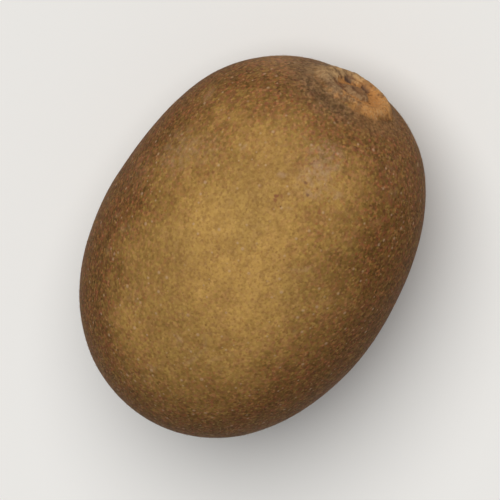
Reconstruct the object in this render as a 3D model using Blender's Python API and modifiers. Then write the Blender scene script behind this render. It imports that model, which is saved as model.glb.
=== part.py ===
"""Golden kiwi fruit, as picked, lying on its side.

The fruit grew as one piece, so it is one solid. Its long axis lies along X,
with the stem end at +X: there the blunt end carries a raised corky ring round
a sunken scar, and a small cupped stump where the stalk let go. The flower end
at -X has a low ridge with a small point. The fruit rests on a small flat spot
at z = 0, and the origin is the middle of the footprint of its bounding box.

Metres, +Z up.
"""
import math

import bmesh
import bpy
from mathutils import Vector

# ---------------------------------------------------------------- dimensions
LENGTH = 0.0636            # end to end, along X
WIDTH = 0.0473             # across, along Y
THICKNESS = 0.0459         # along Z, before the resting spot is taken off
SPOT_DEPTH = 0.00028       # how much of the underside the resting spot takes

# Each end is a blunted ellipse: r = R * (1 - (x / half)**P)**(1 / Q)
STEM_P, STEM_Q = 2.22, 2.33
FLOWER_P, FLOWER_Q = 2.20, 2.22
STEM_SHARE = 0.498         # share of the length on the stem side of the waist

# Stem end: the corky ring, the scar inside it and the stalk's stump
RING_OUTER_R = 0.0069
RING_TOP_R = 0.0055
RING_INNER_R = 0.0044
RING_SHIFT = 0.00075       # how far the scar lies below the ring's middle
MOAT_OUTER_R = 0.0100      # where the skin begins to dip towards the ring
MOAT_DEPTH = 0.00034
SCAR_DEPTH = 0.0010        # floor of the scar below the ring's top
STUMP_R = 0.0019
STUMP_TOP = 0.00055        # stump's rim above the scar's floor
CUP_R = 0.0009
CUP_DEPTH = 0.00045

# Flower end: a low ridge and the point left by the dried flower
RIDGE_R = 0.0030
RIDGE_HEIGHT = 0.00030
POINT_R = 0.0007
POINT_HEIGHT = 0.00055

# Low flats and swellings: where (x, y, z), how far they reach, how deep
UNEVEN = (
    (0.0068, 0.0235, -0.0020, 0.0085, 0.00036),
    (0.0150, -0.0200, -0.0050, 0.0085, 0.00019),
    (0.0205, 0.0175, -0.0060, 0.0080, -0.00040),
    (-0.0060, -0.0235, 0.0000, 0.0095, -0.00032),
)

TURN_STEPS = 48            # facets round the long axis
BODY_POINTS = 27           # points along the skin from end to end

OBJECT_NAME = "kiwi_fruit"


# ------------------------------------------------------------------- profile
def skin_radius(x):
    """Radius of the plain skin at x along the axis, waist at x = 0."""
    if x >= 0.0:
        half, p, q = LENGTH * STEM_SHARE, STEM_P, STEM_Q
    else:
        half, p, q = LENGTH * (1.0 - STEM_SHARE), FLOWER_P, FLOWER_Q
    t = min(1.0, abs(x) / half)
    return 0.5 * WIDTH * (1.0 - t ** p) ** (1.0 / q)


def skin_x(r, side):
    """The x at which the plain skin has the radius r, on the +X or -X side."""
    if side > 0:
        half, p, q = LENGTH * STEM_SHARE, STEM_P, STEM_Q
    else:
        half, p, q = LENGTH * (1.0 - STEM_SHARE), FLOWER_P, FLOWER_Q
    return side * half * (1.0 - (r / (0.5 * WIDTH)) ** q) ** (1.0 / p)


def stem_end_points():
    """(radius, x) from the axis outwards: cup, stump, scar, ring and moat."""
    top = LENGTH * STEM_SHARE
    floor = top - SCAR_DEPTH
    rim = floor + STUMP_TOP
    moat = skin_x(RING_OUTER_R + 0.0004, 1) - MOAT_DEPTH
    points = [
        (0.0, rim - CUP_DEPTH),
        (CUP_R * 0.62, rim - CUP_DEPTH * 0.90),
        (CUP_R * 1.12, rim - CUP_DEPTH * 0.25),
        (STUMP_R * 0.76, rim),
        (STUMP_R * 0.96, rim - STUMP_TOP * 0.30),
        (STUMP_R * 1.16, floor + STUMP_TOP * 0.12),
        (STUMP_R * 1.50, floor),
        (RING_INNER_R * 0.84, floor + SCAR_DEPTH * 0.06),
        (RING_INNER_R, floor + SCAR_DEPTH * 0.50),
        (RING_INNER_R + 0.0004, top - SCAR_DEPTH * 0.14),
        (RING_TOP_R - 0.0002, top - SCAR_DEPTH * 0.02),
        (RING_TOP_R + 0.0003, top - SCAR_DEPTH * 0.06),
        (RING_OUTER_R - 0.0006, top - SCAR_DEPTH * 0.30),
        (RING_OUTER_R - 0.0001, moat + 0.00035),
        (RING_OUTER_R + 0.0004, moat),
    ]
    for share in (0.40, 0.72):
        r = RING_OUTER_R + 0.0004 + share * (MOAT_OUTER_R - RING_OUTER_R)
        ease = 0.5 + 0.5 * math.cos(math.pi * share)
        points.append((r, skin_x(r, 1) - MOAT_DEPTH * ease))
    return points


def flower_end_points():
    """(radius, x) from the ridge's foot inwards to the axis at the -X end."""
    tip = -LENGTH * (1.0 - STEM_SHARE) + POINT_HEIGHT
    return [
        (RIDGE_R * 1.75, skin_x(RIDGE_R * 1.75, -1)),
        (RIDGE_R * 1.20, skin_x(RIDGE_R * 1.20, -1) - RIDGE_HEIGHT * 0.35),
        (RIDGE_R * 0.95, skin_x(RIDGE_R * 0.95, -1) - RIDGE_HEIGHT),
        (RIDGE_R * 0.68, skin_x(RIDGE_R * 0.68, -1) - RIDGE_HEIGHT * 0.45),
        (POINT_R * 1.50, tip + 0.00010),
        (POINT_R, tip - POINT_HEIGHT * 0.35),
        (POINT_R * 0.55, tip - POINT_HEIGHT * 0.88),
        (0.0, tip - POINT_HEIGHT),
    ]


def profile_points():
    """The whole outline, from the stem end to the flower end."""
    stem = stem_end_points()
    flower = flower_end_points()
    body = []
    start = math.acos(skin_x(MOAT_OUTER_R, 1) / (LENGTH * STEM_SHARE))
    end = math.pi - math.acos(
        -skin_x(RIDGE_R * 2.7, -1) / (LENGTH * (1.0 - STEM_SHARE)))
    for i in range(BODY_POINTS):
        s = start + (end - start) * i / (BODY_POINTS - 1)
        c = math.cos(s)
        x = c * LENGTH * (STEM_SHARE if c >= 0.0 else 1.0 - STEM_SHARE)
        body.append((skin_radius(x), x))
    return stem + body + flower


# -------------------------------------------------------------- natural form
def natural_form(p):
    """Press the turned shape into the slightly uneven form of a grown fruit."""
    x, y, z = p
    angle = math.atan2(z, y)
    press = 0.0
    for fx, fy, fz, reach, depth in UNEVEN:
        away = (x - fx) ** 2 + (y - fy) ** 2 + (z - fz) ** 2
        press += depth * math.exp(-away / reach ** 2)
    # inside the ring everything lies a little lower than the middle
    inside = 0.0
    if x > 0.5 * LENGTH * STEM_SHARE:
        inside = max(0.0, min(1.0, (0.0064 - math.hypot(y, z)) / 0.0022))
        inside = inside * inside * (3.0 - 2.0 * inside)
    y -= press * math.cos(angle)
    z -= press * math.sin(angle) + RING_SHIFT * inside
    along = x / (0.5 * LENGTH)
    belly = max(0.0, 1.0 - along * along)
    swell = (0.0045 * math.cos(2.0 * angle - 0.9 + 0.8 * along)
             + 0.0050 * math.cos(3.0 * angle + 0.7 - 0.6 * along)
             + 0.0022 * math.cos(5.0 * angle + 2.1 + 1.3 * along)) * belly
    y *= 1.0 + swell
    z *= (1.0 + swell) * THICKNESS / WIDTH
    y += 0.00035 * (1.0 - along * along) - 0.00020 * along
    z += 0.00025 * along
    return Vector((x, y, z))


# --------------------------------------------------------------------- model
def clear_scene():
    for ob in list(bpy.data.objects):
        bpy.data.objects.remove(ob, do_unlink=True)
    for coll in list(bpy.data.collections):
        bpy.data.collections.remove(coll)


def new_collection(name):
    coll = bpy.data.collections.new(name)
    bpy.context.scene.collection.children.link(coll)
    return coll


def skin_material():
    mat = bpy.data.materials.new("kiwi_skin")
    mat.use_nodes = True
    bsdf = mat.node_tree.nodes["Principled BSDF"]
    bsdf.inputs["Base Color"].default_value = (0.330, 0.185, 0.062, 1.0)
    bsdf.inputs["Roughness"].default_value = 0.62
    bsdf.inputs["Metallic"].default_value = 0.0
    mat.diffuse_color = (0.330, 0.185, 0.062, 1.0)
    return mat


def turned_mesh(coll):
    """Turn the outline about Z, then return it as a welded mesh along X."""
    mesh = bpy.data.meshes.new("fruit_outline")
    pts = [(r, 0.0, x) for r, x in profile_points()]
    mesh.from_pydata(pts, [(i, i + 1) for i in range(len(pts) - 1)], [])
    outline = bpy.data.objects.new("fruit_outline", mesh)
    coll.objects.link(outline)
    screw = outline.modifiers.new("turn", 'SCREW')
    screw.axis = 'Z'
    screw.angle = 2.0 * math.pi
    screw.steps = TURN_STEPS
    screw.render_steps = TURN_STEPS
    screw.use_merge_vertices = True
    screw.merge_threshold = 0.00001
    screw.use_smooth_shade = True

    bpy.context.view_layer.update()
    graph = bpy.context.evaluated_depsgraph_get()
    turned = bpy.data.meshes.new_from_object(outline.evaluated_get(graph))
    bpy.data.objects.remove(outline, do_unlink=True)

    bm = bmesh.new()
    bm.from_mesh(turned)
    bmesh.ops.remove_doubles(bm, verts=bm.verts, dist=0.000002)
    for v in bm.verts:
        # the turning axis Z becomes the fruit's long axis X
        v.co = natural_form((v.co.z, v.co.y, -v.co.x))
    bmesh.ops.recalc_face_normals(bm, faces=bm.faces)
    lo = Vector([min(v.co[k] for v in bm.verts) for k in range(3)])
    hi = Vector([max(v.co[k] for v in bm.verts) for k in range(3)])
    shift = Vector((-(lo.x + hi.x) / 2.0, -(lo.y + hi.y) / 2.0,
                    -lo.z - SPOT_DEPTH))
    bmesh.ops.translate(bm, verts=bm.verts, vec=shift)
    bm.to_mesh(turned)
    bm.free()
    return turned


def spot_cutter(coll):
    """A block whose top face, at z = 0, trims the resting spot flat."""
    mesh = bpy.data.meshes.new("resting_spot_cutter")
    bm = bmesh.new()
    bmesh.ops.create_cube(bm, size=1.0)
    bmesh.ops.scale(bm, verts=bm.verts, vec=(0.040, 0.040, 0.010))
    bmesh.ops.translate(bm, verts=bm.verts, vec=(0.0, 0.0, -0.005))
    bm.to_mesh(mesh)
    bm.free()
    cutter = bpy.data.objects.new("resting_spot_cutter", mesh)
    cutter.hide_render = True
    cutter.display_type = 'WIRE'
    coll.objects.link(cutter)
    return cutter


def build():
    clear_scene()
    parts = new_collection("golden_kiwi_fruit")
    cutters = new_collection("cutters")

    mesh = turned_mesh(parts)
    mesh.name = OBJECT_NAME
    mesh.materials.clear()
    mesh.materials.append(skin_material())
    fruit = bpy.data.objects.new(OBJECT_NAME, mesh)
    parts.objects.link(fruit)
    mesh.shade_smooth()
    mesh.set_sharp_from_angle(angle=math.radians(50.0))

    cut = fruit.modifiers.new("resting_spot", 'BOOLEAN')
    cut.operation = 'DIFFERENCE'
    cut.solver = 'EXACT'
    cut.object = spot_cutter(cutters)
    return fruit


build()
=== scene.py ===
"""Golden kiwi fruit: the looks.

One grown piece, lying on its side with the stem end at +X. The skin is a fine
mesh that follows the solid's own form, with the corky ring, the scar and the
stalk's stump modelled in it, and a short sparse fuzz as separate fine hairs.
"""
import math

import bpy
import numpy as np
from mathutils import Matrix, Vector


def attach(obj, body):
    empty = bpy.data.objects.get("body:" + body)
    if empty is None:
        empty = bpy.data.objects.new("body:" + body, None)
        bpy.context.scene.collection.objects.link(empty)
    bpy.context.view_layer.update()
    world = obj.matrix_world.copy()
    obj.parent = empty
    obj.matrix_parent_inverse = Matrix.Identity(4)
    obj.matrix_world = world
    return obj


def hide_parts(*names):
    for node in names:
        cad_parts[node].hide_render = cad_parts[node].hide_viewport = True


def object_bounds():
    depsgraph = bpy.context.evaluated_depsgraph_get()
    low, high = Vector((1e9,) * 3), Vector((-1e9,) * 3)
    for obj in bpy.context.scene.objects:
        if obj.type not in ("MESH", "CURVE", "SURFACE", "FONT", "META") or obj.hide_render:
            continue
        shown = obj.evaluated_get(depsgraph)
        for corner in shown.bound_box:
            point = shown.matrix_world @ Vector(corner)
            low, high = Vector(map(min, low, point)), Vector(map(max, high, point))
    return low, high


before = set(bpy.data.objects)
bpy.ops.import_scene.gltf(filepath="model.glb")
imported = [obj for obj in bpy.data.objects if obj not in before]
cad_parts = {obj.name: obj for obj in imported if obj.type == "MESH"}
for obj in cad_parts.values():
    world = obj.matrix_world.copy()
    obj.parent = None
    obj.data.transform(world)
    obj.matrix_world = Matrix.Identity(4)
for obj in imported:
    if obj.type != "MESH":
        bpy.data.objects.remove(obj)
cad_lo, cad_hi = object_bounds()

MM = 0.001

# ------------------------------------------------------------ the solid's form
# The same rules that the solid is made by, so that the skin lies on it.
LENGTH, WIDTH, THICKNESS = 0.0636, 0.0473, 0.0459
SPOT_DEPTH = 0.00028
STEM_P, STEM_Q = 2.22, 2.33
FLOWER_P, FLOWER_Q = 2.20, 2.22
STEM_SHARE = 0.498

RING_OUTER_R, RING_TOP_R, RING_INNER_R = 0.0069, 0.0055, 0.0044
RING_SHIFT = 0.00075
MOAT_OUTER_R, MOAT_DEPTH = 0.0100, 0.00034
SCAR_DEPTH = 0.0010
STUMP_R, STUMP_TOP = 0.0019, 0.00055
CUP_R, CUP_DEPTH = 0.0009, 0.00045
RIDGE_R, RIDGE_HEIGHT = 0.0030, 0.00030
POINT_R, POINT_HEIGHT = 0.0007, 0.00055

# low flats and swellings: where (x, y, z), how far they reach, how deep
UNEVEN = (
    (0.0068, 0.0235, -0.0020, 0.0085, 0.00036),
    (0.0150, -0.0200, -0.0050, 0.0085, 0.00019),
    (0.0205, 0.0175, -0.0060, 0.0080, -0.00040),
    (-0.0060, -0.0235, 0.0000, 0.0095, -0.00032),
)


def skin_x(r, side):
    """The x at which the plain skin has the radius r, on the +X or -X side."""
    if side > 0:
        half, p, q = LENGTH * STEM_SHARE, STEM_P, STEM_Q
    else:
        half, p, q = LENGTH * (1.0 - STEM_SHARE), FLOWER_P, FLOWER_Q
    return side * half * (1.0 - (r / (0.5 * WIDTH)) ** q) ** (1.0 / p)


def skin_radius(x):
    if x >= 0.0:
        half, p, q = LENGTH * STEM_SHARE, STEM_P, STEM_Q
    else:
        half, p, q = LENGTH * (1.0 - STEM_SHARE), FLOWER_P, FLOWER_Q
    t = min(1.0, abs(x) / half)
    return 0.5 * WIDTH * (1.0 - t ** p) ** (1.0 / q)


def stem_points():
    """(radius, x) of the stem end from the axis outwards, with rounder steps."""
    top = LENGTH * STEM_SHARE
    floor = top - SCAR_DEPTH
    rim = floor + STUMP_TOP
    moat = skin_x(RING_OUTER_R + 0.0004, 1) - MOAT_DEPTH
    pts = [
        (0.0, rim - CUP_DEPTH),
        (CUP_R * 0.62, rim - CUP_DEPTH * 0.90),
        (CUP_R * 1.12, rim - CUP_DEPTH * 0.25),
        (STUMP_R * 0.76, rim),
        (STUMP_R * 0.96, rim - STUMP_TOP * 0.30),
        (STUMP_R * 1.16, floor + STUMP_TOP * 0.12),
        (STUMP_R * 1.50, floor),
        (RING_INNER_R * 0.84, floor + SCAR_DEPTH * 0.06),
        (RING_INNER_R, floor + SCAR_DEPTH * 0.50),
        (RING_INNER_R + 0.0004, top - SCAR_DEPTH * 0.14),
        (RING_TOP_R - 0.0002, top - SCAR_DEPTH * 0.02),
        (RING_TOP_R + 0.0003, top - SCAR_DEPTH * 0.06),
        (RING_OUTER_R - 0.0006, top - SCAR_DEPTH * 0.30),
        (RING_OUTER_R - 0.0001, moat + 0.00035),
        (RING_OUTER_R + 0.0004, moat),
    ]
    for share in (0.40, 0.72):
        r = RING_OUTER_R + 0.0004 + share * (MOAT_OUTER_R - RING_OUTER_R)
        ease = 0.5 + 0.5 * math.cos(math.pi * share)
        pts.append((r, skin_x(r, 1) - MOAT_DEPTH * ease))
    return pts


def flower_points():
    tip = -LENGTH * (1.0 - STEM_SHARE) + POINT_HEIGHT
    return [
        (RIDGE_R * 1.75, skin_x(RIDGE_R * 1.75, -1)),
        (RIDGE_R * 1.20, skin_x(RIDGE_R * 1.20, -1) - RIDGE_HEIGHT * 0.35),
        (RIDGE_R * 0.95, skin_x(RIDGE_R * 0.95, -1) - RIDGE_HEIGHT),
        (RIDGE_R * 0.68, skin_x(RIDGE_R * 0.68, -1) - RIDGE_HEIGHT * 0.45),
        (POINT_R * 1.50, tip + 0.00010),
        (POINT_R, tip - POINT_HEIGHT * 0.35),
        (POINT_R * 0.55, tip - POINT_HEIGHT * 0.88),
        (0.0, tip - POINT_HEIGHT),
    ]


def outline():
    """Outline points from the stem end to the flower end, as an array."""
    body = []
    start = math.acos(skin_x(MOAT_OUTER_R, 1) / (LENGTH * STEM_SHARE))
    end = math.pi - math.acos(
        -skin_x(RIDGE_R * 2.7, -1) / (LENGTH * (1.0 - STEM_SHARE)))
    for i in range(61):
        s = start + (end - start) * i / 60
        c = math.cos(s)
        x = c * LENGTH * (STEM_SHARE if c >= 0.0 else 1.0 - STEM_SHARE)
        body.append((skin_radius(x), x))
    return np.array(stem_points() + body + flower_points())


def smooth_curve(pts, n_each=14):
    """A centripetal Catmull-Rom curve through the points, finely sampled."""
    p = np.vstack([2 * pts[0] - pts[1], pts, 2 * pts[-1] - pts[-2]])
    out = []
    for i in range(1, len(p) - 2):
        p0, p1, p2, p3 = p[i - 1], p[i], p[i + 1], p[i + 2]
        t0 = 0.0
        t1 = t0 + max(np.linalg.norm(p1 - p0), 1e-9) ** 0.5
        t2 = t1 + max(np.linalg.norm(p2 - p1), 1e-9) ** 0.5
        t3 = t2 + max(np.linalg.norm(p3 - p2), 1e-9) ** 0.5
        t = np.linspace(t1, t2, n_each, endpoint=False)[:, None]
        a1 = (t1 - t) / (t1 - t0) * p0 + (t - t0) / (t1 - t0) * p1
        a2 = (t2 - t) / (t2 - t1) * p1 + (t - t1) / (t2 - t1) * p2
        a3 = (t3 - t) / (t3 - t2) * p2 + (t - t2) / (t3 - t2) * p3
        b1 = (t2 - t) / (t2 - t0) * a1 + (t - t0) / (t2 - t0) * a2
        b2 = (t3 - t) / (t3 - t1) * a2 + (t - t1) / (t3 - t1) * a3
        out.append((t2 - t) / (t2 - t1) * b1 + (t - t1) / (t2 - t1) * b2)
    out.append(p[-2][None, :])
    return np.vstack(out)


def natural_form(x, y, z):
    """The slightly uneven form of a grown fruit, as the solid has it."""
    angle = np.arctan2(z, y)
    press = np.zeros_like(x)
    for fx, fy, fz, reach, depth in UNEVEN:
        away = (x - fx) ** 2 + (y - fy) ** 2 + (z - fz) ** 2
        press = press + depth * np.exp(-away / reach ** 2)
    # inside the ring everything lies a little lower than the middle
    inside = np.clip((0.0064 - np.hypot(y, z)) / 0.0022, 0.0, 1.0)
    inside = np.where(x > 0.5 * LENGTH * STEM_SHARE,
                      inside * inside * (3.0 - 2.0 * inside), 0.0)
    y = y - press * np.cos(angle)
    z = z - press * np.sin(angle) - RING_SHIFT * inside
    along = x / (0.5 * LENGTH)
    belly = np.maximum(0.0, 1.0 - along * along)
    swell = (0.0045 * np.cos(2.0 * angle - 0.9 + 0.8 * along)
             + 0.0050 * np.cos(3.0 * angle + 0.7 - 0.6 * along)
             + 0.0022 * np.cos(5.0 * angle + 2.1 + 1.3 * along)) * belly
    y = y * (1.0 + swell)
    z = z * (1.0 + swell) * THICKNESS / WIDTH
    y = y + 0.00035 * (1.0 - along * along) - 0.00020 * along
    z = z + 0.00025 * along
    return x, y, z


# ----------------------------------------------------------------------- noise
def _hash(ix, iy, iz, seed):
    h = (ix * 374761393 + iy * 668265263 + iz * 1274126177
         + seed * 144665) & 0xffffffff
    h = ((h ^ (h >> 13)) * 1103515245) & 0xffffffff
    h = ((h ^ (h >> 16)) * 374761393) & 0xffffffff
    h = h ^ (h >> 15)
    return (h & 0xffffff) / float(0xffffff) * 2.0 - 1.0


def noise(p, size, seed=0):
    """Smooth noise in -1..1 at the points p, with features of that size."""
    q = p / size
    i = np.floor(q).astype(np.int64)
    f = q - i
    w = f * f * f * (f * (f * 6.0 - 15.0) + 10.0)
    total = 0.0
    for dx in (0, 1):
        for dy in (0, 1):
            for dz in (0, 1):
                wt = ((w[:, 0] if dx else 1 - w[:, 0])
                      * (w[:, 1] if dy else 1 - w[:, 1])
                      * (w[:, 2] if dz else 1 - w[:, 2]))
                total = total + wt * _hash(i[:, 0] + dx, i[:, 1] + dy,
                                           i[:, 2] + dz, seed)
    return total


def fractal(p, size, octaves, seed=0, fall=0.5):
    total, amp, norm = 0.0, 1.0, 0.0
    for k in range(octaves):
        total = total + amp * noise(p, size / (2.0 ** k), seed + 17 * k)
        norm += amp
        amp *= fall
    return total / norm


def step(lo, hi, v):
    t = np.clip((v - lo) / (hi - lo), 0.0, 1.0)
    return t * t * (3.0 - 2.0 * t)


# ------------------------------------------------------------------ skin mesh
COLUMNS = 352          # points round the long axis


def row_places(curve):
    """Rows along the outline: fine at both ends, wider on the belly."""
    seg = np.linalg.norm(np.diff(curve, axis=0), axis=1)
    arc = np.concatenate([[0.0], np.cumsum(seg)])
    total = arc[-1]
    rows = [0.0]
    while rows[-1] < total:
        s = rows[-1]
        r = np.interp(s, arc, curve[:, 0])
        from_stem, from_tip = s, total - s
        if s < total / 2:
            size = 0.14 * MM + 0.44 * MM * float(
                step(0.0135, 0.024, np.array(from_stem)))
        else:
            size = 0.20 * MM + 0.38 * MM * float(
                step(0.0060, 0.016, np.array(from_tip)))
        rows.append(s + max(size, 0.05 * MM) * (1.0 if r > 0 else 1.0))
    rows = np.array(rows[:-1] + [total])
    if rows[-1] - rows[-2] < 0.05 * MM:
        rows = np.delete(rows, -2)
    return (np.interp(rows, arc, curve[:, 0]), np.interp(rows, arc, curve[:, 1]),
            rows, total)


def make_skin():
    curve = smooth_curve(outline())
    curve[:, 0] = np.maximum(curve[:, 0], 0.0)
    rad, xs, rows, total = row_places(curve)
    n_rows = len(rad)
    phi = np.linspace(0.0, 2.0 * math.pi, COLUMNS, endpoint=False)

    # inner rows as a grid, and one point at each end
    rr, pp = np.meshgrid(rad[1:-1], phi, indexing="ij")
    xx = np.repeat(xs[1:-1], COLUMNS)
    ss = np.repeat(rows[1:-1], COLUMNS)
    rr, pp = rr.ravel(), pp.ravel()
    rr = np.concatenate([[0.0], rr, [0.0]])
    pp = np.concatenate([[0.0], pp, [0.0]])
    xx = np.concatenate([[xs[0]], xx, [xs[-1]]])
    ss = np.concatenate([[0.0], ss, [total]])

    # faces
    def vid(i, j):
        return 1 + i * COLUMNS + (j % COLUMNS)
    faces = []
    last = len(rr) - 1
    inner = n_rows - 2
    for j in range(COLUMNS):
        faces.append((0, vid(0, j), vid(0, j + 1)))
    for i in range(inner - 1):
        for j in range(COLUMNS):
            faces.append((vid(i, j), vid(i + 1, j), vid(i + 1, j + 1),
                          vid(i, j + 1)))
    for j in range(COLUMNS):
        faces.append((last, vid(inner - 1, j + 1), vid(inner - 1, j)))

    # direction of the outline's outward normal in (x, radius)
    d_r = np.gradient(rad, rows)
    d_x = np.gradient(xs, rows)
    norm = np.hypot(d_r, d_x)
    n_x, n_r = d_r / norm, -d_x / norm
    n_x[0], n_r[0] = 1.0, 0.0
    n_x[-1], n_r[-1] = -1.0, 0.0
    nx = np.concatenate([[n_x[0]], np.repeat(n_x[1:-1], COLUMNS), [n_x[-1]]])
    nr = np.concatenate([[n_r[0]], np.repeat(n_r[1:-1], COLUMNS), [n_r[-1]]])
    cy, cz = np.cos(pp), np.sin(pp)
    base = np.stack([xx, rr * cy, rr * cz], 1)
    out = np.stack([nx, nr * cy, nr * cz], 1)

    # ---- masks, by the distance from the long axis at each end
    stem = (xx > 0.0).astype(float)
    unit = np.stack([cy, cz, np.zeros_like(cy)], 1)
    wob = noise(unit * 3.1 + 4.0, 1.0, 5) * 0.16 + noise(unit * 8.0, 1.0, 6) * 0.10
    r_mm = rr / MM
    edge = r_mm + wob
    ring = stem * step(4.0, 4.6, r_mm + 0.35 * wob) * (1 - step(6.85, 7.15, edge))
    scar = stem * (1 - step(4.0, 4.6, r_mm + 0.35 * wob))
    # on the +Y side the ring is broader inwards
    off_y = np.abs((np.degrees(pp) - 342.0 + 180.0) % 360.0 - 180.0)
    broad_arc = 1 - step(20.0, 44.0, off_y + 7.0 * noise(unit * 5.0, 1.0, 7))
    shelf = stem * broad_arc * step(2.9, 3.6, r_mm + wob) * (1 - step(4.5, 5.2, r_mm))
    ring = np.maximum(ring, shelf)
    scar = scar * (1 - shelf)
    stump = stem * step(0.95, 1.3, r_mm) * (1 - step(2.0, 2.5, r_mm + wob))
    core = stem * (1 - step(0.9, 1.5, r_mm + 0.5 * wob))
    # the dip's mask, for its wrinkles and its painted shade, reaches wider towards +Y and +Z, where
    # the painted shade is darker
    lean = 0.5 + 0.5 * np.cos(pp - 0.9)
    moat = stem * step(6.7, 7.2, edge) * (1 - step(7.4 + 1.2 * lean, 10.8 + 2.4 * lean, edge))
    tip = (1 - stem) * (1 - step(1.6, 4.6, r_mm + 2.0 * wob))

    # ---- sculpting, along the outward normal
    d = np.zeros_like(rr)
    skin = 1.0 - np.maximum.reduce([ring, scar, tip])
    d += skin * 0.10 * MM * noise(base, 13 * MM, 11)
    d += skin * 0.045 * MM * noise(base, 5.5 * MM, 12)
    d += skin * 0.016 * MM * fractal(base, 2.2 * MM, 2, 13)

    # pebbled skin: low rounded grains about 1 mm across
    grain = fractal(base, 0.95 * MM, 2, 21)
    d += skin * 0.010 * MM * grain

    # a few broad shallow dents
    for at, radius, depth in (((0.012, -0.018, 0.014), 7.5, 0.16),
                              ((-0.015, 0.016, 0.013), 8.5, 0.14),
                              ((0.004, 0.021, -0.010), 9.0, 0.18),
                              ((-0.018, -0.014, -0.010), 7.0, 0.14)):
        away = np.linalg.norm(base - np.array(at), axis=1) / (radius * MM)
        d -= skin * depth * MM * (1 - step(0.0, 1.0, away))

    # fine wrinkles running into the dip round the ring
    turn = np.stack([cy * 7.3, cz * 7.3, ss * 60.0], 1)
    pucker = noise(turn * 1.9, 1.0, 31) * 0.6 + noise(turn * 4.3, 1.0, 32) * 0.4
    d += moat * 0.045 * MM * pucker

    # the corky ring: lumpy, furrowed across, with a worn edge
    furrow = noise(np.stack([cy * 34, cz * 34, ss * 900], 1), 1.0, 41)
    lump = fractal(base, 1.5 * MM, 3, 42)
    crumb = fractal(base, 0.50 * MM, 2, 43)
    swell = noise(unit * 1.5 + 2.0, 1.0, 46)
    d += ring * MM * (0.12 * swell + 0.12 * lump + 0.012 * furrow + 0.06 * crumb)
    # notches between what is left of the sepals
    lobes = np.cos(3.0 * pp + 0.4 + 1.6 * noise(unit * 2.0, 1.0, 44))
    notch = step(0.90, 0.995, lobes)
    d -= ring * 0.16 * MM * notch * step(5.2, 6.6, r_mm)
    # the ring's shoulder is worn and its foot runs out into the skin
    worn = stem * (0.62 + 0.30 * cz + 0.30 * noise(unit * 2.4, 1.0, 49))
    worn = np.clip(worn, 0.15, 1.0) * stem
    d -= worn * 0.20 * MM * np.exp(-((edge - 6.30) / 0.42) ** 2)
    d += worn * 0.24 * MM * np.exp(-((edge - 7.45) / 0.62) ** 2)
    # a loose inner ledge in crescents
    ledge = np.exp(-((r_mm - 3.75 - wob) / 0.34) ** 2) * step(
        -0.25, 0.45, np.cos(2.0 * pp + 2.3) + 0.8 * noise(unit * 2.6, 1.0, 45))
    ledge = ledge * (1 - shelf)
    d += stem * 0.26 * MM * ledge
    d += shelf * 0.62 * MM * (1 - step(3.9, 4.9, r_mm))
    # open slots at the ring's foot, the two long ones on the -Z side
    slot = np.zeros_like(rr)
    for mid, half_turn, r_slot, wide, depth in (
            (304.0, 13.0, 3.55, 0.42, 0.42), (252.0, 11.0, 3.75, 0.38, 0.36),
            (150.0, 16.0, 4.10, 0.20, 0.24), (38.0, 13.0, 4.20, 0.20, 0.22)):
        turn_off = np.abs((np.degrees(pp) - mid + 180.0) % 360.0 - 180.0)
        arc = 1.0 - step(half_turn * 0.72, half_turn * 1.12,
                         turn_off + 3.0 * noise(unit * 6.0, 1.0, 47))
        slot = np.maximum(slot, stem * arc * depth * np.exp(
            -((r_mm - r_slot - 0.5 * wob) / wide) ** 2))
    d -= slot * MM

    # the scar's floor: torn fibres round the stump
    fibre = noise(np.stack([cy * 11, cz * 11, rr / MM * 1.4], 1), 1.0, 51)
    pit = fractal(base, 0.8 * MM, 3, 52)
    floor_only = scar * (1 - stump) * (1 - core)
    d += floor_only * MM * (0.13 * pit + 0.07 * fibre
                            + 0.12 * noise(base, 2.6 * MM, 55))
    d += stump * MM * (0.12 * fractal(base, 0.7 * MM, 2, 53)
                       + 0.14 * noise(unit * 1.4, 1.0, 54))
    d += core * 0.20 * MM

    # flower end: dried remnants, crumbly
    d += tip * MM * (0.10 * fractal(base, 0.8 * MM, 3, 61)
                     + 0.05 * step(0.8, 1.8, r_mm) * noise(
                         np.stack([cy * 9, cz * 9, ss * 700], 1), 1.0, 62))
    husk = (1 - stem) * np.clip(
        step(0.10, 0.80, np.cos(5.0 * pp + 0.6 + 1.9 * noise(unit * 1.7, 1.0, 63)))
        * np.exp(-((r_mm - 1.75 - 1.4 * wob) / 0.62) ** 2)
        + 0.9 * np.exp(-(r_mm / 0.60) ** 2), 0.0, 1.0)
    d += husk * MM * 0.26 * (0.75 + 0.7 * fractal(base, 0.5 * MM, 2, 64))
    d -= (1 - stem) * 0.10 * MM * np.exp(-((r_mm - 3.1 - wob) / 0.8) ** 2)

    # the stump sits a little off the middle
    p = base + out * d[:, None]
    off = stem * (1 - step(1.5, 4.2, r_mm))
    p[:, 1] -= off * 0.28 * MM
    p[:, 2] += off * 0.40 * MM

    x, y, z = natural_form(p[:, 0], p[:, 1], p[:, 2])
    bx, by, bz = natural_form(base[:, 0], base[:, 1], base[:, 2])
    # the same shift as the solid: over the middle of its box
    shift_x = -(bx.min() + bx.max()) / 2
    shift_y = -(by.min() + by.max()) / 2
    shift_z = -bz.min() - SPOT_DEPTH
    x, y, z = x + shift_x, y + shift_y, z + shift_z

    # flat spot: soft into the plane that it rests on
    low = step(0.0, 0.00045, z)
    z = np.where(z < 0.00045, np.maximum(z, 0.0) * low + z * 0.0, z)
    z = np.maximum(z, 0.0)

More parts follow.
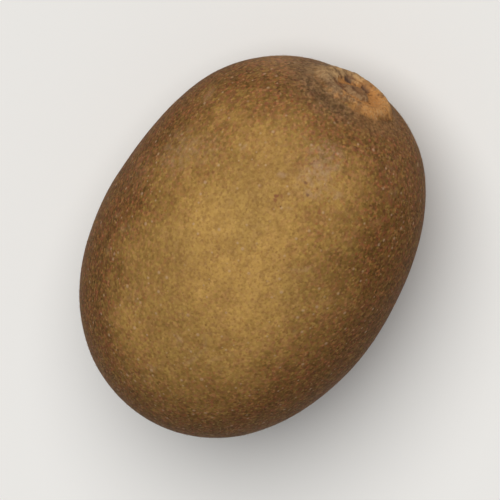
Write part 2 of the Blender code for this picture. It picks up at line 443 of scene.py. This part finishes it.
    verts = np.stack([x, y, z], 1)
    # how hollow a place is; it drives painted shade in the hollows and a painted highlight on the
    # raised parts
    hollow = np.clip(-(ring * (0.6 * lump + 0.5 * crumb + 0.4 * furrow)
                       + floor_only * (0.8 * pit + 0.4 * fibre)
                       + tip * 0.6 * fractal(base, 0.8 * MM, 3, 61)), -1, 1)
    masks = {"ring": ring, "scar": scar, "stump": stump, "core": core,
             "moat": moat, "tip": tip, "hollow": hollow * 0.5 + 0.5,
             "ledge": stem * ledge, "notch": ring * notch,
             "slot": np.clip(slot / 0.36, 0.0, 1.0), "husk": husk,
             "cork": stem * (1 - step(6.0, 7.35, r_mm + wob + 0.55 * fractal(
                 base, 1.6 * MM, 3, 48))),
             # a paler band on the far side: tan lip tissue with a painted highlight
             "lip_and_highlight": np.maximum(
                 ring * step(4.9, 5.3, r_mm) * step(-0.1, 0.7, -cz),
                 stem * step(2.9, 3.7, edge) * (1 - step(7.0, 9.4, edge))
                 * step(0.15, 0.75, 0.80 * cy - 0.60 * cz))}
    return verts, faces, masks, (x - 0, y, z)


def new_object(name, verts, faces, smooth=True):
    mesh = bpy.data.meshes.new(name)
    mesh.from_pydata([tuple(v) for v in verts], [], faces)
    mesh.validate()
    if smooth:
        mesh.shade_smooth()
    mesh.update()
    ob = bpy.data.objects.new(name, mesh)
    bpy.context.scene.collection.objects.link(ob)
    return ob


# -------------------------------------------------------------------- shading
class Nodes:
    """Short words for building a node tree."""

    def __init__(self, name):
        self.mat = bpy.data.materials.new(name)
        self.mat.use_nodes = True
        self.tree = self.mat.node_tree
        self.tree.nodes.clear()
        self.out = self.tree.nodes.new("ShaderNodeOutputMaterial")
        self.bsdf = self.tree.nodes.new("ShaderNodeBsdfPrincipled")
        self.tree.links.new(self.bsdf.outputs["BSDF"], self.out.inputs["Surface"])
        self.where = self.tree.nodes.new("ShaderNodeTexCoord").outputs["Object"]

    def put(self, value, socket):
        if hasattr(value, "is_linked"):
            self.tree.links.new(value, socket)
        else:
            socket.default_value = value

    def math(self, op, a, b=0.0, c=None, clamp=False):
        n = self.tree.nodes.new("ShaderNodeMath")
        n.operation = op
        n.use_clamp = clamp
        self.put(a, n.inputs[0])
        self.put(b, n.inputs[1])
        if c is not None:
            self.put(c, n.inputs[2])
        return n.outputs[0]

    def span(self, v, lo, hi, a=0.0, b=1.0, soft=True):
        n = self.tree.nodes.new("ShaderNodeMapRange")
        n.interpolation_type = 'SMOOTHSTEP' if soft else 'LINEAR'
        self.put(v, n.inputs["Value"])
        for key, val in (("From Min", lo), ("From Max", hi),
                         ("To Min", a), ("To Max", b)):
            n.inputs[key].default_value = val
        return n.outputs["Result"]

    def scaled(self, sx=1.0, sy=1.0, sz=1.0, vec=None):
        n = self.tree.nodes.new("ShaderNodeMapping")
        self.put(vec if vec is not None else self.where, n.inputs["Vector"])
        n.inputs["Scale"].default_value = (sx, sy, sz)
        return n.outputs["Vector"]

    def moved(self, seed, vec=None):
        """The coordinates shifted, so that each pattern has its own place."""
        n = self.tree.nodes.new("ShaderNodeVectorMath")
        n.operation = 'ADD'
        self.put(vec if vec is not None else self.where, n.inputs[0])
        n.inputs[1].default_value = (0.137 * seed, 0.211 * seed, -0.173 * seed)
        return n.outputs[0]

    def noise(self, size, detail=2.0, rough=0.5, warp=0.0, vec=None, seed=0.0):
        n = self.tree.nodes.new("ShaderNodeTexNoise")
        n.noise_dimensions = '3D'
        self.put(self.moved(seed, vec), n.inputs["Vector"])
        n.inputs["Scale"].default_value = 1.0 / size
        n.inputs["Detail"].default_value = detail
        n.inputs["Roughness"].default_value = rough
        n.inputs["Distortion"].default_value = warp
        return n.outputs["Fac"]

    def cells(self, size, feature='F1', rand=1.0, vec=None):
        n = self.tree.nodes.new("ShaderNodeTexVoronoi")
        n.feature = feature
        self.put(vec if vec is not None else self.where, n.inputs["Vector"])
        n.inputs["Scale"].default_value = 1.0 / size
        n.inputs["Randomness"].default_value = rand
        return n

    def mask(self, name):
        n = self.tree.nodes.new("ShaderNodeAttribute")
        n.attribute_name = name
        return n.outputs["Fac"]

    def mix(self, fac, a, b, kind='MIX'):
        n = self.tree.nodes.new("ShaderNodeMix")
        n.data_type = 'RGBA'
        n.blend_type = kind
        self.put(fac, n.inputs[0])
        for val, sock in ((a, n.inputs[6]), (b, n.inputs[7])):
            if hasattr(val, "is_linked"):
                self.tree.links.new(val, sock)
            else:
                sock.default_value = (*val, 1.0)
        return n.outputs[2]

    def bump(self, height, distance, strength=1.0, after=None):
        n = self.tree.nodes.new("ShaderNodeBump")
        n.inputs["Strength"].default_value = strength
        n.inputs["Distance"].default_value = distance
        self.put(height, n.inputs["Height"])
        if after is not None:
            self.tree.links.new(after, n.inputs["Normal"])
        return n.outputs["Normal"]


def skin_material():
    n = Nodes("kiwi_skin")

    gold = (0.444, 0.260, 0.075)
    olive = (0.355, 0.212, 0.061)
    brown = (0.190, 0.095, 0.030)
    flank_shade_col = (0.104, 0.043, 0.011)
    mauve = (0.154, 0.075, 0.026)
    tan = (0.600, 0.400, 0.180)
    straw = (0.560, 0.350, 0.105)
    dark = (0.085, 0.040, 0.016)

    # painted shade: how far a place is turned to the top, the side lit most; the flanks turned away
    # are painted darker and browner
    local = n.tree.nodes.new("ShaderNodeVectorMath")
    local.operation = 'SUBTRACT'
    n.put(n.where, local.inputs[0])
    local.inputs[1].default_value = (0.0, 0.0, 0.0232)
    ball = n.scaled(1 / 0.0430, 1 / 0.0238, 1 / 0.0230, vec=local.outputs[0])
    unit = n.tree.nodes.new("ShaderNodeVectorMath")
    unit.operation = 'NORMALIZE'
    n.put(ball, unit.inputs[0])
    dot = n.tree.nodes.new("ShaderNodeVectorMath")
    dot.operation = 'DOT_PRODUCT'
    n.put(unit.outputs[0], dot.inputs[0])
    dot.inputs[1].default_value = tuple(Vector((0.20, 0.08, 0.97)).normalized())
    sway = n.math('MULTIPLY_ADD', n.noise(14 * MM, 2.0, 0.5, 0.4, seed=1.3), 0.34, -0.17)
    sway2 = n.math('MULTIPLY_ADD', n.noise(3.6 * MM, 3.0, 0.6, 0.3, seed=3.7), 0.24, -0.12)
    facing_light = n.math('ADD', n.math('ADD', dot.outputs["Value"], sway), sway2)

    def broad(at, reach):
        off = n.tree.nodes.new("ShaderNodeVectorMath")
        off.operation = 'DISTANCE'
        n.put(n.where, off.inputs[0])
        off.inputs[1].default_value = tuple(c * MM for c in at)
        return n.span(off.outputs["Value"], reach * MM, 0.0)

    # places where the painted shade is eased or deepened
    for at, reach, lit_more in (((18.5, -6.5, 41.4), 11.0, -0.09),
                                 ((26.0, 4.5, 36.4), 7.5, 0.15),
                                 ((19.0, 16.5, 33.0), 9.0, 0.10),
                                 ((13.5, 14.5, 38.6), 8.0, 0.05),
                                 ((16.8, 13.0, 38.6), 5.0, -0.07),
                                 ((24.1, 14.2, 31.5), 5.0, 0.09),
                                 ((20.0, 19.0, 27.3), 6.0, 0.28),
                                 ((2.6, 21.2, 32.6), 6.0, -0.05),
                                 ((4.7, 16.2, 39.2), 6.0, -0.05),
                                 ((19.0, -9.5, 40.0), 4.5, 0.06),
                                 ((24.2, -7.0, 37.9), 6.5, 0.12),
                                 ((1.0, 20.6, 34.0), 9.0, -0.09)):
        facing_light = n.math('MULTIPLY_ADD', broad(at, reach), lit_more, facing_light)

    # broad patches: golden, olive and browner skin, with painted shade that makes the flanks darker
    # and browner than the top
    patch = n.noise(17 * MM, 2.0, 0.5, 0.4, seed=1.3)
    col = n.mix(n.span(patch, 0.36, 0.62), olive, gold)
    flank_shade = n.math('ADD', n.span(facing_light, 1.06, 0.50, 0.0, 0.93),
                    n.span(facing_light, 0.52, 0.02, 0.0, 0.07, soft=False))
    col = n.mix(flank_shade, col, flank_shade_col)
    patch2 = n.noise(9 * MM, 3.0, 0.55, 0.5, seed=4.1)
    col = n.mix(n.math('MULTIPLY', n.span(patch2, 0.50, 0.72), 0.30), col, brown)

    # browner and duller towards both ends
    sep = n.tree.nodes.new("ShaderNodeSeparateXYZ")
    n.put(n.where, sep.inputs[0])
    x = sep.outputs["X"]
    # the lower half has golden-brown patches again
    under = n.span(sep.outputs["Z"], 21.0 * MM, 9.0 * MM)
    warm = n.span(n.noise(15 * MM, 2.0, 0.5, 0.4, seed=17.0), 0.42, 0.64, 0.0, 0.75)
    col = n.mix(n.math('MULTIPLY', under, warm), col, (0.290, 0.158, 0.040))
    edge_wobble = n.math('MULTIPLY', n.math('SUBTRACT', n.noise(6 * MM, 3.0, seed=2.2), 0.5), 0.012)
    xw = n.math('ADD', x, edge_wobble)
    xw = n.math('MULTIPLY_ADD', broad((26.0, 4.5, 36.4), 7.5), -0.0024, xw)
    xw = n.math('MULTIPLY_ADD', broad((24.0, 14.5, 30.7), 7.0), -0.0026, xw)
    xw = n.math('MULTIPLY_ADD', broad((24.2, -7.0, 37.9), 6.5), -0.0016, xw)
    stem_side = n.span(xw, 0.0190, 0.0290)
    flower_side = n.span(xw, -0.020, -0.031)
    col = n.mix(n.math('MULTIPLY', stem_side, 0.84), col, mauve)
    col = n.mix(n.math('MULTIPLY', flower_side, 0.55), col, mauve)
    # rim: the flanks' painted shade together with the browner ends
    rim = n.math('MAXIMUM', flank_shade, n.math('MAXIMUM', stem_side, flower_side))

    # mottling: soft patches of 2 mm, then grains of half a millimetre
    # the dark of the mottling is darker again under the painted shade
    deep = n.mix(flank_shade, brown, (0.136, 0.060, 0.019))
    mott = n.noise(1.9 * MM, 3.0, 0.60, seed=6.0)
    more = n.math('MULTIPLY_ADD', rim, 0.15, 0.45)
    col = n.mix(n.math('MULTIPLY', n.span(mott, 0.42, 0.72, 0.0, 0.72), more), col, deep)
    ragged = n.tree.nodes.new("ShaderNodeTexNoise")
    ragged.noise_dimensions = '3D'
    n.put(n.where, ragged.inputs["Vector"])
    ragged.inputs["Scale"].default_value = 1.0 / (0.20 * MM)
    ragged.inputs["Detail"].default_value = 2.0
    torn_vec = n.tree.nodes.new("ShaderNodeVectorMath")
    torn_vec.operation = 'MULTIPLY_ADD'
    n.put(ragged.outputs["Color"], torn_vec.inputs[0])
    torn_vec.inputs[1].default_value = (0.34 * MM, 0.34 * MM, 0.34 * MM)
    n.put(n.moved(7.0), torn_vec.inputs[2])
    grain = n.cells(0.38 * MM, feature='SMOOTH_F1', vec=torn_vec.outputs[0])
    grain.inputs["Smoothness"].default_value = 0.70
    pick = n.tree.nodes.new("ShaderNodeSeparateColor")
    n.put(grain.outputs["Color"], pick.inputs[0])
    col = n.mix(n.span(pick.outputs[0], 0.46, 0.90, 0.0, 0.34, soft=False), col, deep)
    col = n.mix(n.span(pick.outputs[0], 0.46, 0.10, 0.0, 0.16, soft=False), col, straw)
    red = n.span(pick.outputs[1], 0.54, 0.86)
    red_part = n.math('MULTIPLY_ADD', rim, 0.44, 0.06)
    col = n.mix(n.math('MULTIPLY', red, red_part), col, (0.250, 0.085, 0.030))
    fine = n.noise(0.42 * MM, 2.0, 0.70, seed=7.0)
    fine_part = n.math('MULTIPLY_ADD', rim, -0.16, 0.50)
    col = n.mix(n.math('MULTIPLY', n.span(fine, 0.49, 0.74), fine_part), col, deep)
    col = n.mix(n.span(fine, 0.48, 0.26, 0.0, 0.14), col, straw)
    # the browner ends and the flanks under painted shade are grainier: lighter and darker by their
    # own colour
    coarse = n.noise(0.95 * MM, 2.0, 0.6, seed=8.0)
    sum_up = n.math('MULTIPLY_ADD', fine, 1.6, -0.8)
    sum_up = n.math('ADD', sum_up, n.math('MULTIPLY_ADD', pick.outputs[2], 1.6, -0.8))
    sum_up = n.math('ADD', sum_up, n.math('MULTIPLY_ADD', coarse, 0.8, -0.4))
    amount = n.math('MULTIPLY_ADD', rim, 0.40, 0.08)
    factor = n.math('MULTIPLY_ADD', sum_up, amount, 1.02)
    factor = n.math('MINIMUM', n.math('MAXIMUM', factor, 0.40), 2.1)
    scaled = n.tree.nodes.new("ShaderNodeVectorMath")
    scaled.operation = 'SCALE'
    n.put(col, scaled.inputs[0])
    n.put(factor, scaled.inputs["Scale"])
    col = scaled.outputs[0]

    # some grains are a little redder, most of all on the browner ends and the flanks under painted
    # shade
    hue = n.cells(0.50 * MM, vec=n.moved(19.0, torn_vec.outputs[0]))
    tint = n.tree.nodes.new("ShaderNodeSeparateColor")
    n.put(hue.outputs["Color"], tint.inputs[0])
    lean = n.math('MAXIMUM', n.math('MULTIPLY_ADD', tint.outputs[0], 2.0, -1.0), -0.30)
    strong = n.math('MINIMUM', n.math('MULTIPLY', rim, 1.35), 1.0)
    lean_rim = n.math('MULTIPLY', lean, strong)
    tinted = n.tree.nodes.new("ShaderNodeCombineXYZ")
    n.put(n.math('MULTIPLY_ADD', lean_rim, 0.11, 1.0), tinted.inputs[0])
    n.put(n.math('MULTIPLY_ADD', lean_rim, -0.070, 1.0), tinted.inputs[1])
    n.put(n.math('MULTIPLY_ADD', lean_rim, 0.16, n.math('MULTIPLY_ADD', lean, 0.08, 1.0)),
          tinted.inputs[2])
    hued = n.tree.nodes.new("ShaderNodeVectorMath")
    hued.operation = 'MULTIPLY'
    n.put(col, hued.inputs[0])
    n.put(tinted.outputs[0], hued.inputs[1])
    col = hued.outputs[0]

    # dots all over, each its own size
    def dots(size, radius, share, seed):
        shift = n.tree.nodes.new("ShaderNodeVectorMath")
        shift.operation = 'ADD'
        n.put(n.where, shift.inputs[0])
        shift.inputs[1].default_value = (seed, seed * 0.7, seed * 1.3)
        cell = n.cells(size, vec=shift.outputs[0])
        own = n.tree.nodes.new("ShaderNodeSeparateColor")
        n.put(cell.outputs["Color"], own.inputs[0])
        on = n.math('LESS_THAN', own.outputs[0], share)
        reach = n.math('MULTIPLY_ADD', own.outputs[1], radius * 0.7, radius * 0.45)
        near = n.math('DIVIDE', cell.outputs["Distance"], reach)
        return n.math('MULTIPLY', n.span(near, 1.0, 0.35), on)

    pink = (0.440, 0.285, 0.170)
    pale = dots(1.45 * MM, 0.24, 0.75, 0.11)
    col = n.mix(n.math('MULTIPLY', pale, 0.55), col, pink)
    small = dots(0.85 * MM, 0.22, 0.50, 0.91)
    col = n.mix(n.math('MULTIPLY', small, n.math('MULTIPLY_ADD', rim, 0.34, 0.12)),
                col, (0.480, 0.290, 0.135))
    rust = dots(0.95 * MM, 0.27, 0.50, 0.37)
    rust_part = n.math('MULTIPLY_ADD', rim, 0.64, 0.20)
    col = n.mix(n.math('MULTIPLY', rust, rust_part), col, (0.255, 0.078, 0.026))
    speck = dots(0.70 * MM, 0.26, 0.50, 0.53)
    col = n.mix(n.math('MULTIPLY', speck, 0.42), col, deep)
    fleck = dots(2.6 * MM, 0.12, 0.28, 0.73)
    col = n.mix(n.math('MULTIPLY', fleck, 0.65), col, dark)

    # rubbed places, paler and pinker
    rub = n.noise(5.5 * MM, 4.0, 0.6, 0.8, seed=9.5)
    rub_part = n.math('MULTIPLY_ADD', rim, -0.30, 0.42)
    col = n.mix(n.math('MULTIPLY', n.span(rub, 0.60, 0.76), rub_part), col, pink)

    # a few small marks where the photographed fruit has them
    wavy = n.tree.nodes.new("ShaderNodeVectorMath")
    wavy.operation = 'MULTIPLY_ADD'
    uneven = n.tree.nodes.new("ShaderNodeTexNoise")
    uneven.noise_dimensions = '3D'
    n.put(n.where, uneven.inputs["Vector"])
    uneven.inputs["Scale"].default_value = 1.0 / (0.6 * MM)
    n.put(uneven.outputs["Color"], wavy.inputs[0])
    wavy.inputs[1].default_value = (0.7 * MM, 0.7 * MM, 0.7 * MM)
    n.put(n.where, wavy.inputs[2])

    def spot(at, reach):
        off = n.tree.nodes.new("ShaderNodeVectorMath")
        off.operation = 'DISTANCE'
        n.put(wavy.outputs[0], off.inputs[0])
        off.inputs[1].default_value = tuple((c + 0.35) * MM for c in at)
        return n.span(off.outputs["Value"], reach * MM, reach * 0.45 * MM)

    for at, reach, shade, part in (
            ((17.3, 1.1, 42.8), 0.48, (0.180, 0.060, 0.034), 0.75),
            ((16.7, 0.9, 43.1), 0.40, (0.200, 0.070, 0.036), 0.65),
            ((17.7, 0.4, 42.7), 0.36, (0.240, 0.100, 0.044), 0.55),
            ((21.0, -1.5, 41.2), 0.36, (0.150, 0.070, 0.044), 0.60),
            ((19.8, -2.8, 41.7), 0.42, (0.120, 0.060, 0.038), 0.65),
            ((18.4, -5.7, 41.7), 0.50, (0.220, 0.086, 0.038), 0.55)):
        col = n.mix(n.math('MULTIPLY', spot(at, reach), part), col, shade)
    bloom = n.span(n.noise(1.0 * MM, 4.0, 0.7, seed=15.0), 0.36, 0.70)
    for at, reach, part in (((21.6, -2.6, 40.8), 3.6, 0.40), ((25.0, -2.3, 38.4), 3.8, 0.40),
                            ((12.5, 17.4, 36.0), 5.0, 0.26), ((15.8, 14.0, 38.0), 3.6, 0.18),
                            ((4.0, 20.5, 33.0), 5.0, 0.10)):
        away = n.math('MULTIPLY', spot(at, reach), part)
        col = n.mix(n.math('MULTIPLY', away, bloom), col, pink)

    # paler skin beside the ring, which keeps its grain and fades out
    arc = n.math('MAXIMUM', broad((28.6, 11.6, 22.6), 6.4),
                 n.math('MULTIPLY', broad((29.5, 9.6, 17.6), 5.6), 0.6))
    light = n.tree.nodes.new("ShaderNodeVectorMath")
    light.operation = 'SCALE'
    n.put(col, light.inputs[0])
    n.put(n.math('MULTIPLY_ADD', arc, 0.28, 1.0), light.inputs["Scale"])
    col = n.mix(n.math('MULTIPLY', arc, 0.13), light.outputs[0], pink)

    # painted shade in the dip round the ring: brown-grey and fibrous
    moat = n.mask("moat")
    grit = n.noise(0.8 * MM, 3.0, 0.6, seed=11.0)
    moat_shade_col = n.mix(n.span(grit, 0.35, 0.65), (0.100, 0.054, 0.026), (0.195, 0.112, 0.054))
    moat_shade_col = n.mix(n.span(sep.outputs["Y"], 0.001, -0.005, 0.0, 0.6), moat_shade_col,
                     (0.205, 0.096, 0.034))
    moat_factor = n.math('MULTIPLY_ADD', sum_up, 0.55, 1.0)
    moat_shade_grain = n.tree.nodes.new("ShaderNodeVectorMath")
    moat_shade_grain.operation = 'SCALE'
    n.put(moat_shade_col, moat_shade_grain.inputs[0])
    n.put(n.math('MAXIMUM', moat_factor, 0.35), moat_shade_grain.inputs["Scale"])
    col = n.mix(n.math('MULTIPLY', moat, 0.75), col, moat_shade_grain.outputs[0])
    # a paler band on the far side of the ring: tan lip tissue with a painted highlight
    torn = n.span(n.noise(1.5 * MM, 4.0, 0.65, 0.5, seed=16.0), 0.40, 0.58)
    lip_and_highlight = n.math('MULTIPLY', n.mask("lip_and_highlight"), n.math('MULTIPLY_ADD', torn, 0.75, 0.25))
    col = n.mix(n.math('MULTIPLY', lip_and_highlight, 0.42), col, (0.400, 0.240, 0.110))

    # the corky ring
    ring = n.mask("ring")
    hollow = n.mask("hollow")
    cork = n.noise(1.0 * MM, 4.0, 0.65, 0.6, seed=12.0)
    grey = (0.165, 0.094, 0.050)
    cork_col = n.mix(n.span(cork, 0.32, 0.66), grey, (0.330, 0.200, 0.100))
    # rustier towards -Y, in loose patches
    blot = n.noise(2.2 * MM, 3.0, 0.55, seed=13.0)
    towards = n.math('MULTIPLY_ADD', sep.outputs["Y"], -55.0, 0.07)
    rusty = n.span(n.math('ADD', blot, towards), 0.42, 0.66, 0.0, 0.85)
    cork_col = n.mix(rusty, cork_col, (0.560, 0.262, 0.080))
    # painted shade in the cork's hollows, a painted highlight on its raised parts
    cork_col = n.mix(n.span(hollow, 0.56, 0.84, 0.0, 0.60), cork_col, (0.085, 0.040, 0.022))
    cork_col = n.mix(n.span(hollow, 0.42, 0.20, 0.0, 0.35), cork_col, (0.430, 0.285, 0.150))
    # the far lip: tan tissue with a painted highlight
    cork_col = n.mix(n.math('MULTIPLY', lip_and_highlight, 0.85), cork_col, (0.520, 0.325, 0.150))
    crumbs = n.noise(0.45 * MM, 2.0, 0.6, seed=14.0)
    cork_col = n.mix(n.span(crumbs, 0.50, 0.70, 0.0, 0.55), cork_col, (0.110, 0.056, 0.030))
    cork_col = n.mix(n.span(crumbs, 0.48, 0.30, 0.0, 0.40), cork_col, (0.460, 0.310, 0.165))
    col = n.mix(n.math('MULTIPLY', n.mask("cork"), 0.92), col, cork_col)

    # the scar's floor, its ledge, the stump and its dark middle
    scar = n.mask("scar")
    floor_col = n.mix(n.span(cork, 0.35, 0.68), (0.120, 0.050, 0.028), (0.250, 0.112, 0.050))
    floor_col = n.mix(n.math('MULTIPLY', rusty, 0.85), floor_col, (0.540, 0.246, 0.072))
    # a painted highlight on the floor's raised parts, painted shade in its hollows
    floor_col = n.mix(n.span(hollow, 0.45, 0.25, 0.0, 0.5), floor_col, (0.330, 0.190, 0.095))
    floor_col = n.mix(n.span(hollow, 0.56, 0.80, 0.0, 0.6), floor_col, (0.060, 0.027, 0.018))
    col = n.mix(n.math('MULTIPLY', scar, 0.90), col, floor_col)
    col = n.mix(n.math('MULTIPLY', n.mask("ledge"), 0.9), col, cork_col)
    stump_col = n.mix(n.span(cork, 0.38, 0.62), (0.190, 0.096, 0.044), (0.330, 0.195, 0.095))
    col = n.mix(n.mask("stump"), col, stump_col)
    col = n.mix(n.math('MULTIPLY', n.mask("core"), 0.75), col, (0.120, 0.068, 0.042))
    # painted shade in the notches and the open slots
    col = n.mix(n.math('MULTIPLY', n.mask("notch"), 0.4), col, (0.080, 0.040, 0.026))
    col = n.mix(n.math('MULTIPLY', n.mask("slot"), 0.80), col, (0.072, 0.042, 0.036))

    # the flower end's dried remnants
    tip_col = n.mix(n.span(cork, 0.35, 0.65), (0.075, 0.036, 0.018), (0.200, 0.106, 0.046))
    col = n.mix(n.math('MULTIPLY', n.mask("tip"), n.span(crumbs, 0.25, 0.60, 0.45, 1.0)),
                col, tip_col)
    husk_col = n.mix(n.span(crumbs, 0.40, 0.62), (0.300, 0.180, 0.090), (0.060, 0.032, 0.020))
    col = n.mix(n.math('MULTIPLY', n.mask("husk"), 0.85), col, husk_col)
    n.put(col, n.bsdf.inputs["Base Color"])

    # roughness: matte, duller on cork
    corky = n.math('MAXIMUM', n.math('MAXIMUM', ring, scar), n.mask("tip"))
    rough = n.span(fine, 0.30, 0.70, 0.52, 0.68, soft=False)
    rough = n.math('ADD', rough, n.math('MULTIPLY', corky, 0.26), clamp=True)
    n.put(rough, n.bsdf.inputs["Roughness"])
    n.bsdf.inputs["Specular IOR Level"].default_value = 0.03
    n.bsdf.inputs["Sheen Weight"].default_value = 0.0
    n.bsdf.inputs["Sheen Roughness"].default_value = 0.45
    n.bsdf.inputs["Sheen Tint"].default_value = (0.95, 0.80, 0.66, 1.0)
    n.bsdf.inputs["Subsurface Weight"].default_value = 0.0

    # relief: pebbled skin, raised dots, pores; coarse fibres on the cork
    keep = n.math('SUBTRACT', 1.0, corky)
    pebble = n.noise(0.55 * MM, 3.0, 0.6, seed=21.0)
    relief = n.math('MULTIPLY', pebble, keep)
    normal = n.bump(relief, 0.10 * MM, 0.55)
    dot_relief = n.math('MULTIPLY', n.math('SUBTRACT', pale, fleck), keep)
    normal = n.bump(dot_relief, 0.05 * MM, 0.6, normal)
    fibre = n.math('MULTIPLY', n.noise(0.30 * MM, 4.0, 0.7, seed=22.0), corky)
    normal = n.bump(fibre, 0.22 * MM, 0.8, normal)
    n.put(normal, n.bsdf.inputs["Normal"])
    return n.mat


def fuzz_material():
    n = Nodes("kiwi_fuzz")
    n.bsdf.inputs["Base Color"].default_value = (0.330, 0.205, 0.098, 1.0)
    n.bsdf.inputs["Roughness"].default_value = 0.55
    n.bsdf.inputs["Specular IOR Level"].default_value = 0.3
    return n.mat


def floor_material():
    n = Nodes("floor_pale")
    tone = n.noise(0.9, 2.0, seed=5.0)
    col = n.mix(n.span(tone, 0.3, 0.7), (0.800, 0.795, 0.785), (0.815, 0.810, 0.800))
    n.put(col, n.bsdf.inputs["Base Color"])
    n.bsdf.inputs["Roughness"].default_value = 0.85
    n.bsdf.inputs["Specular IOR Level"].default_value = 0.15
    return n.mat


# ----------------------------------------------------------------------- fuzz
def make_fuzz(skin):
    """Short fine hairs, lying nearly flat, thicker towards both ends."""
    rng = np.random.default_rng(20481)
    mesh = skin.data
    count = len(mesh.vertices)
    co = np.empty(count * 3)
    mesh.vertices.foreach_get("co", co)
    co = co.reshape(-1, 3)
    no = np.empty(count * 3)
    mesh.vertices.foreach_get("normal", no)
    no = no.reshape(-1, 3)
    mesh.calc_loop_triangles()
    tri = np.empty(len(mesh.loop_triangles) * 3, dtype=np.int32)
    mesh.loop_triangles.foreach_get("vertices", tri)
    tri = tri.reshape(-1, 3)
    a, b, c = co[tri[:, 0]], co[tri[:, 1]], co[tri[:, 2]]
    area = 0.5 * np.linalg.norm(np.cross(b - a, c - a), axis=1)
    mid = (a + b + c) / 3
    half = 0.5 * (cad_hi[0] - cad_lo[0])
    along = mid[:, 0] / half
    end = step(0.35, 0.95, np.abs(along))
    dens = area * (0.12 + 1.0 * end)
    dens *= 0.35 + 1.3 * step(-0.3, 0.5, noise(mid, 6 * MM, 91))
    r_axis = np.hypot(mid[:, 1], mid[:, 2] - 0.0232)
    dens[(mid[:, 0] > 0.025) & (r_axis < 7.4 * MM)] = 0.0
    dens[mid[:, 2] < 0.4 * MM] = 0.0
    total = 9000
    pick = rng.choice(len(tri), size=total, p=dens / dens.sum())
    u, v = rng.random(total), rng.random(total)
    flip = u + v > 1
    u[flip], v[flip] = 1 - u[flip], 1 - v[flip]
    w = 1 - u - v
    t = tri[pick]
    p = co[t[:, 0]] * w[:, None] + co[t[:, 1]] * u[:, None] + co[t[:, 2]] * v[:, None]
    nn = no[t[:, 0]] * w[:, None] + no[t[:, 1]] * u[:, None] + no[t[:, 2]] * v[:, None]
    nn /= np.linalg.norm(nn, axis=1)[:, None]
    # hairs lean towards the flower end, each its own way
    lean = np.stack([-np.ones(total), rng.normal(0, 0.55, total),
                     rng.normal(0, 0.55, total)], 1)
    lean += 0.6 * rng.normal(0, 1, (total, 3))
    lean -= nn * (lean * nn).sum(1)[:, None]
    lean /= np.linalg.norm(lean, axis=1)[:, None]
    lift = np.radians(rng.uniform(12, 42, total))
    length = rng.uniform(0.25, 0.62, total) * MM
    width = rng.uniform(0.009, 0.015, total) * MM
    d0 = lean * np.cos(lift)[:, None] + nn * np.sin(lift)[:, None]
    side = np.cross(d0, nn)
    side /= np.linalg.norm(side, axis=1)[:, None]
    upv = np.cross(side, d0)
    root = p - nn * 0.03 * MM
    verts = np.empty((total, 4, 3))
    for k in range(3):
        ang = 2 * math.pi * k / 3
        verts[:, k] = root + (side * math.cos(ang) + upv * math.sin(ang)) * width[:, None]
    verts[:, 3] = root + d0 * length[:, None]
    verts[:, 3, 2] = np.maximum(verts[:, 3, 2], 0.00003)
    faces = []
    for i in range(total):
        o = 4 * i
        faces += [(o + 1, o, o + 3), (o + 2, o + 1, o + 3), (o, o + 2, o + 3),
                  (o, o + 1, o + 2)]
    return new_object("kiwi_fuzz", verts.reshape(-1, 3), faces, smooth=False)


# ------------------------------------------------------------------ the pieces
verts, faces, masks, _ = make_skin()
skin = new_object("kiwi_fruit_skin", verts, faces)
for key, values in masks.items():
    att = skin.data.attributes.new(key, 'FLOAT', 'POINT')
    att.data.foreach_set("value", np.asarray(values, dtype=np.float32))
skin.data.materials.append(skin_material())
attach(skin, "root")
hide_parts("kiwi_fruit")

fuzz = make_fuzz(skin)
fuzz.data.materials.append(fuzz_material())
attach(fuzz, "root")

# ----------------------------------------------------------- floor and light
floor_mesh = bpy.data.meshes.new("floor")
ring_pts = [(6.0 * math.cos(2 * math.pi * k / 96), 6.0 * math.sin(2 * math.pi * k / 96),
             -0.00005) for k in range(96)]
floor_mesh.from_pydata(ring_pts, [], [tuple(range(96))])
floor = bpy.data.objects.new("floor", floor_mesh)
bpy.context.scene.collection.objects.link(floor)
floor.data.materials.append(floor_material())

scene = bpy.context.scene
scene.view_settings.view_transform = 'Standard'
scene.view_settings.look = 'None'
scene.view_settings.exposure = 0.0
scene.view_settings.gamma = 1.0

world = bpy.data.worlds.new("studio")
scene.world = world
world.use_nodes = True
bg = world.node_tree.nodes["Background"]
bg.inputs["Color"].default_value = (0.97, 0.985, 1.0, 1.0)
bg.inputs["Strength"].default_value = 0.20

# ------------------------------------------------------------------- camera
TILT = math.radians(21.0)        # the view leans towards the stem end
ROLL = math.radians(57.3)        # the long axis points up and to the right
DISTANCE = 1.30
ACROSS = 0.0777                  # width of the frame at the fruit's middle
aim = Vector((0.0, 0.0, 0.0232))
back = Vector((math.sin(TILT), 0.0, math.cos(TILT)))
e1 = (Vector((1, 0, 0)) - back * back.x).normalized()
e2 = back.cross(e1)
right = e1 * math.cos(ROLL) - e2 * math.sin(ROLL)
up = e1 * math.sin(ROLL) + e2 * math.cos(ROLL)
cam_data = bpy.data.cameras.new("camera")
cam_data.sensor_width = 36.0
cam_data.lens = 36.0 * DISTANCE / ACROSS
cam_data.clip_start = 0.05
cam_data.clip_end = 20.0
cam = bpy.data.objects.new("camera", cam_data)
rot = Matrix((right, up, back)).transposed()
cam.matrix_world = Matrix.Translation(aim + back * DISTANCE) @ rot.to_4x4()
scene.collection.objects.link(cam)
scene.camera = cam


def sun(name, direction, angle, strength, colour=(1.0, 1.0, 1.0)):
    data = bpy.data.lights.new(name, 'SUN')
    data.angle = math.radians(angle)
    data.energy = strength
    data.color = colour
    ob = bpy.data.objects.new(name, data)
    ob.rotation_mode = 'QUATERNION'
    ob.rotation_quaternion = Vector(direction).normalized().to_track_quat('Z', 'Y')
    scene.collection.objects.link(ob)
    return ob


sun("key", back + up * 0.20 - right * 0.14, 46.0, 2.92, (1.0, 0.985, 0.955))
